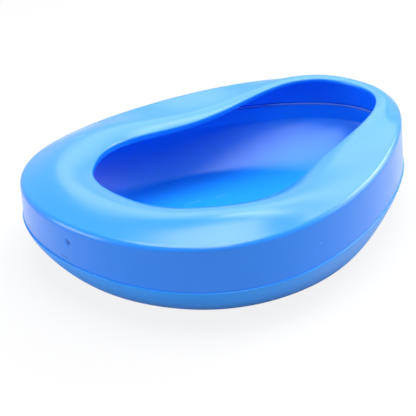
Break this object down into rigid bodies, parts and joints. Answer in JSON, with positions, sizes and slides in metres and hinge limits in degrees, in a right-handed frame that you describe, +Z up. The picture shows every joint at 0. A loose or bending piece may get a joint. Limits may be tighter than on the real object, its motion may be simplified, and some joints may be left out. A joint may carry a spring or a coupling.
{
  "type": "bedpan",
  "caption": "Plastic bedpan with a contoured seat that rises toward its narrow end, a pear-shaped opening and a deep bowl, made of welded mouldings.",
  "frame": {"origin": "middle of the bounding box, on the surface that the pan stands on", "axes": "+X along the length toward the raised, narrow end, +Y across the width, +Z up out of the bowl"},
  "size_m": [0.3908, 0.2912, 0.0936],
  "materials": {
    "blue_polypropylene": "satin injection moulded",
    "weld_polypropylene": "smooth fused bead"
  },
  "bodies": {
    "root": {"seat_shell": "blue_polypropylene", "bowl_shell": "blue_polypropylene", "weld_bead": "weld_polypropylene"}
  },
  "joints": []
}
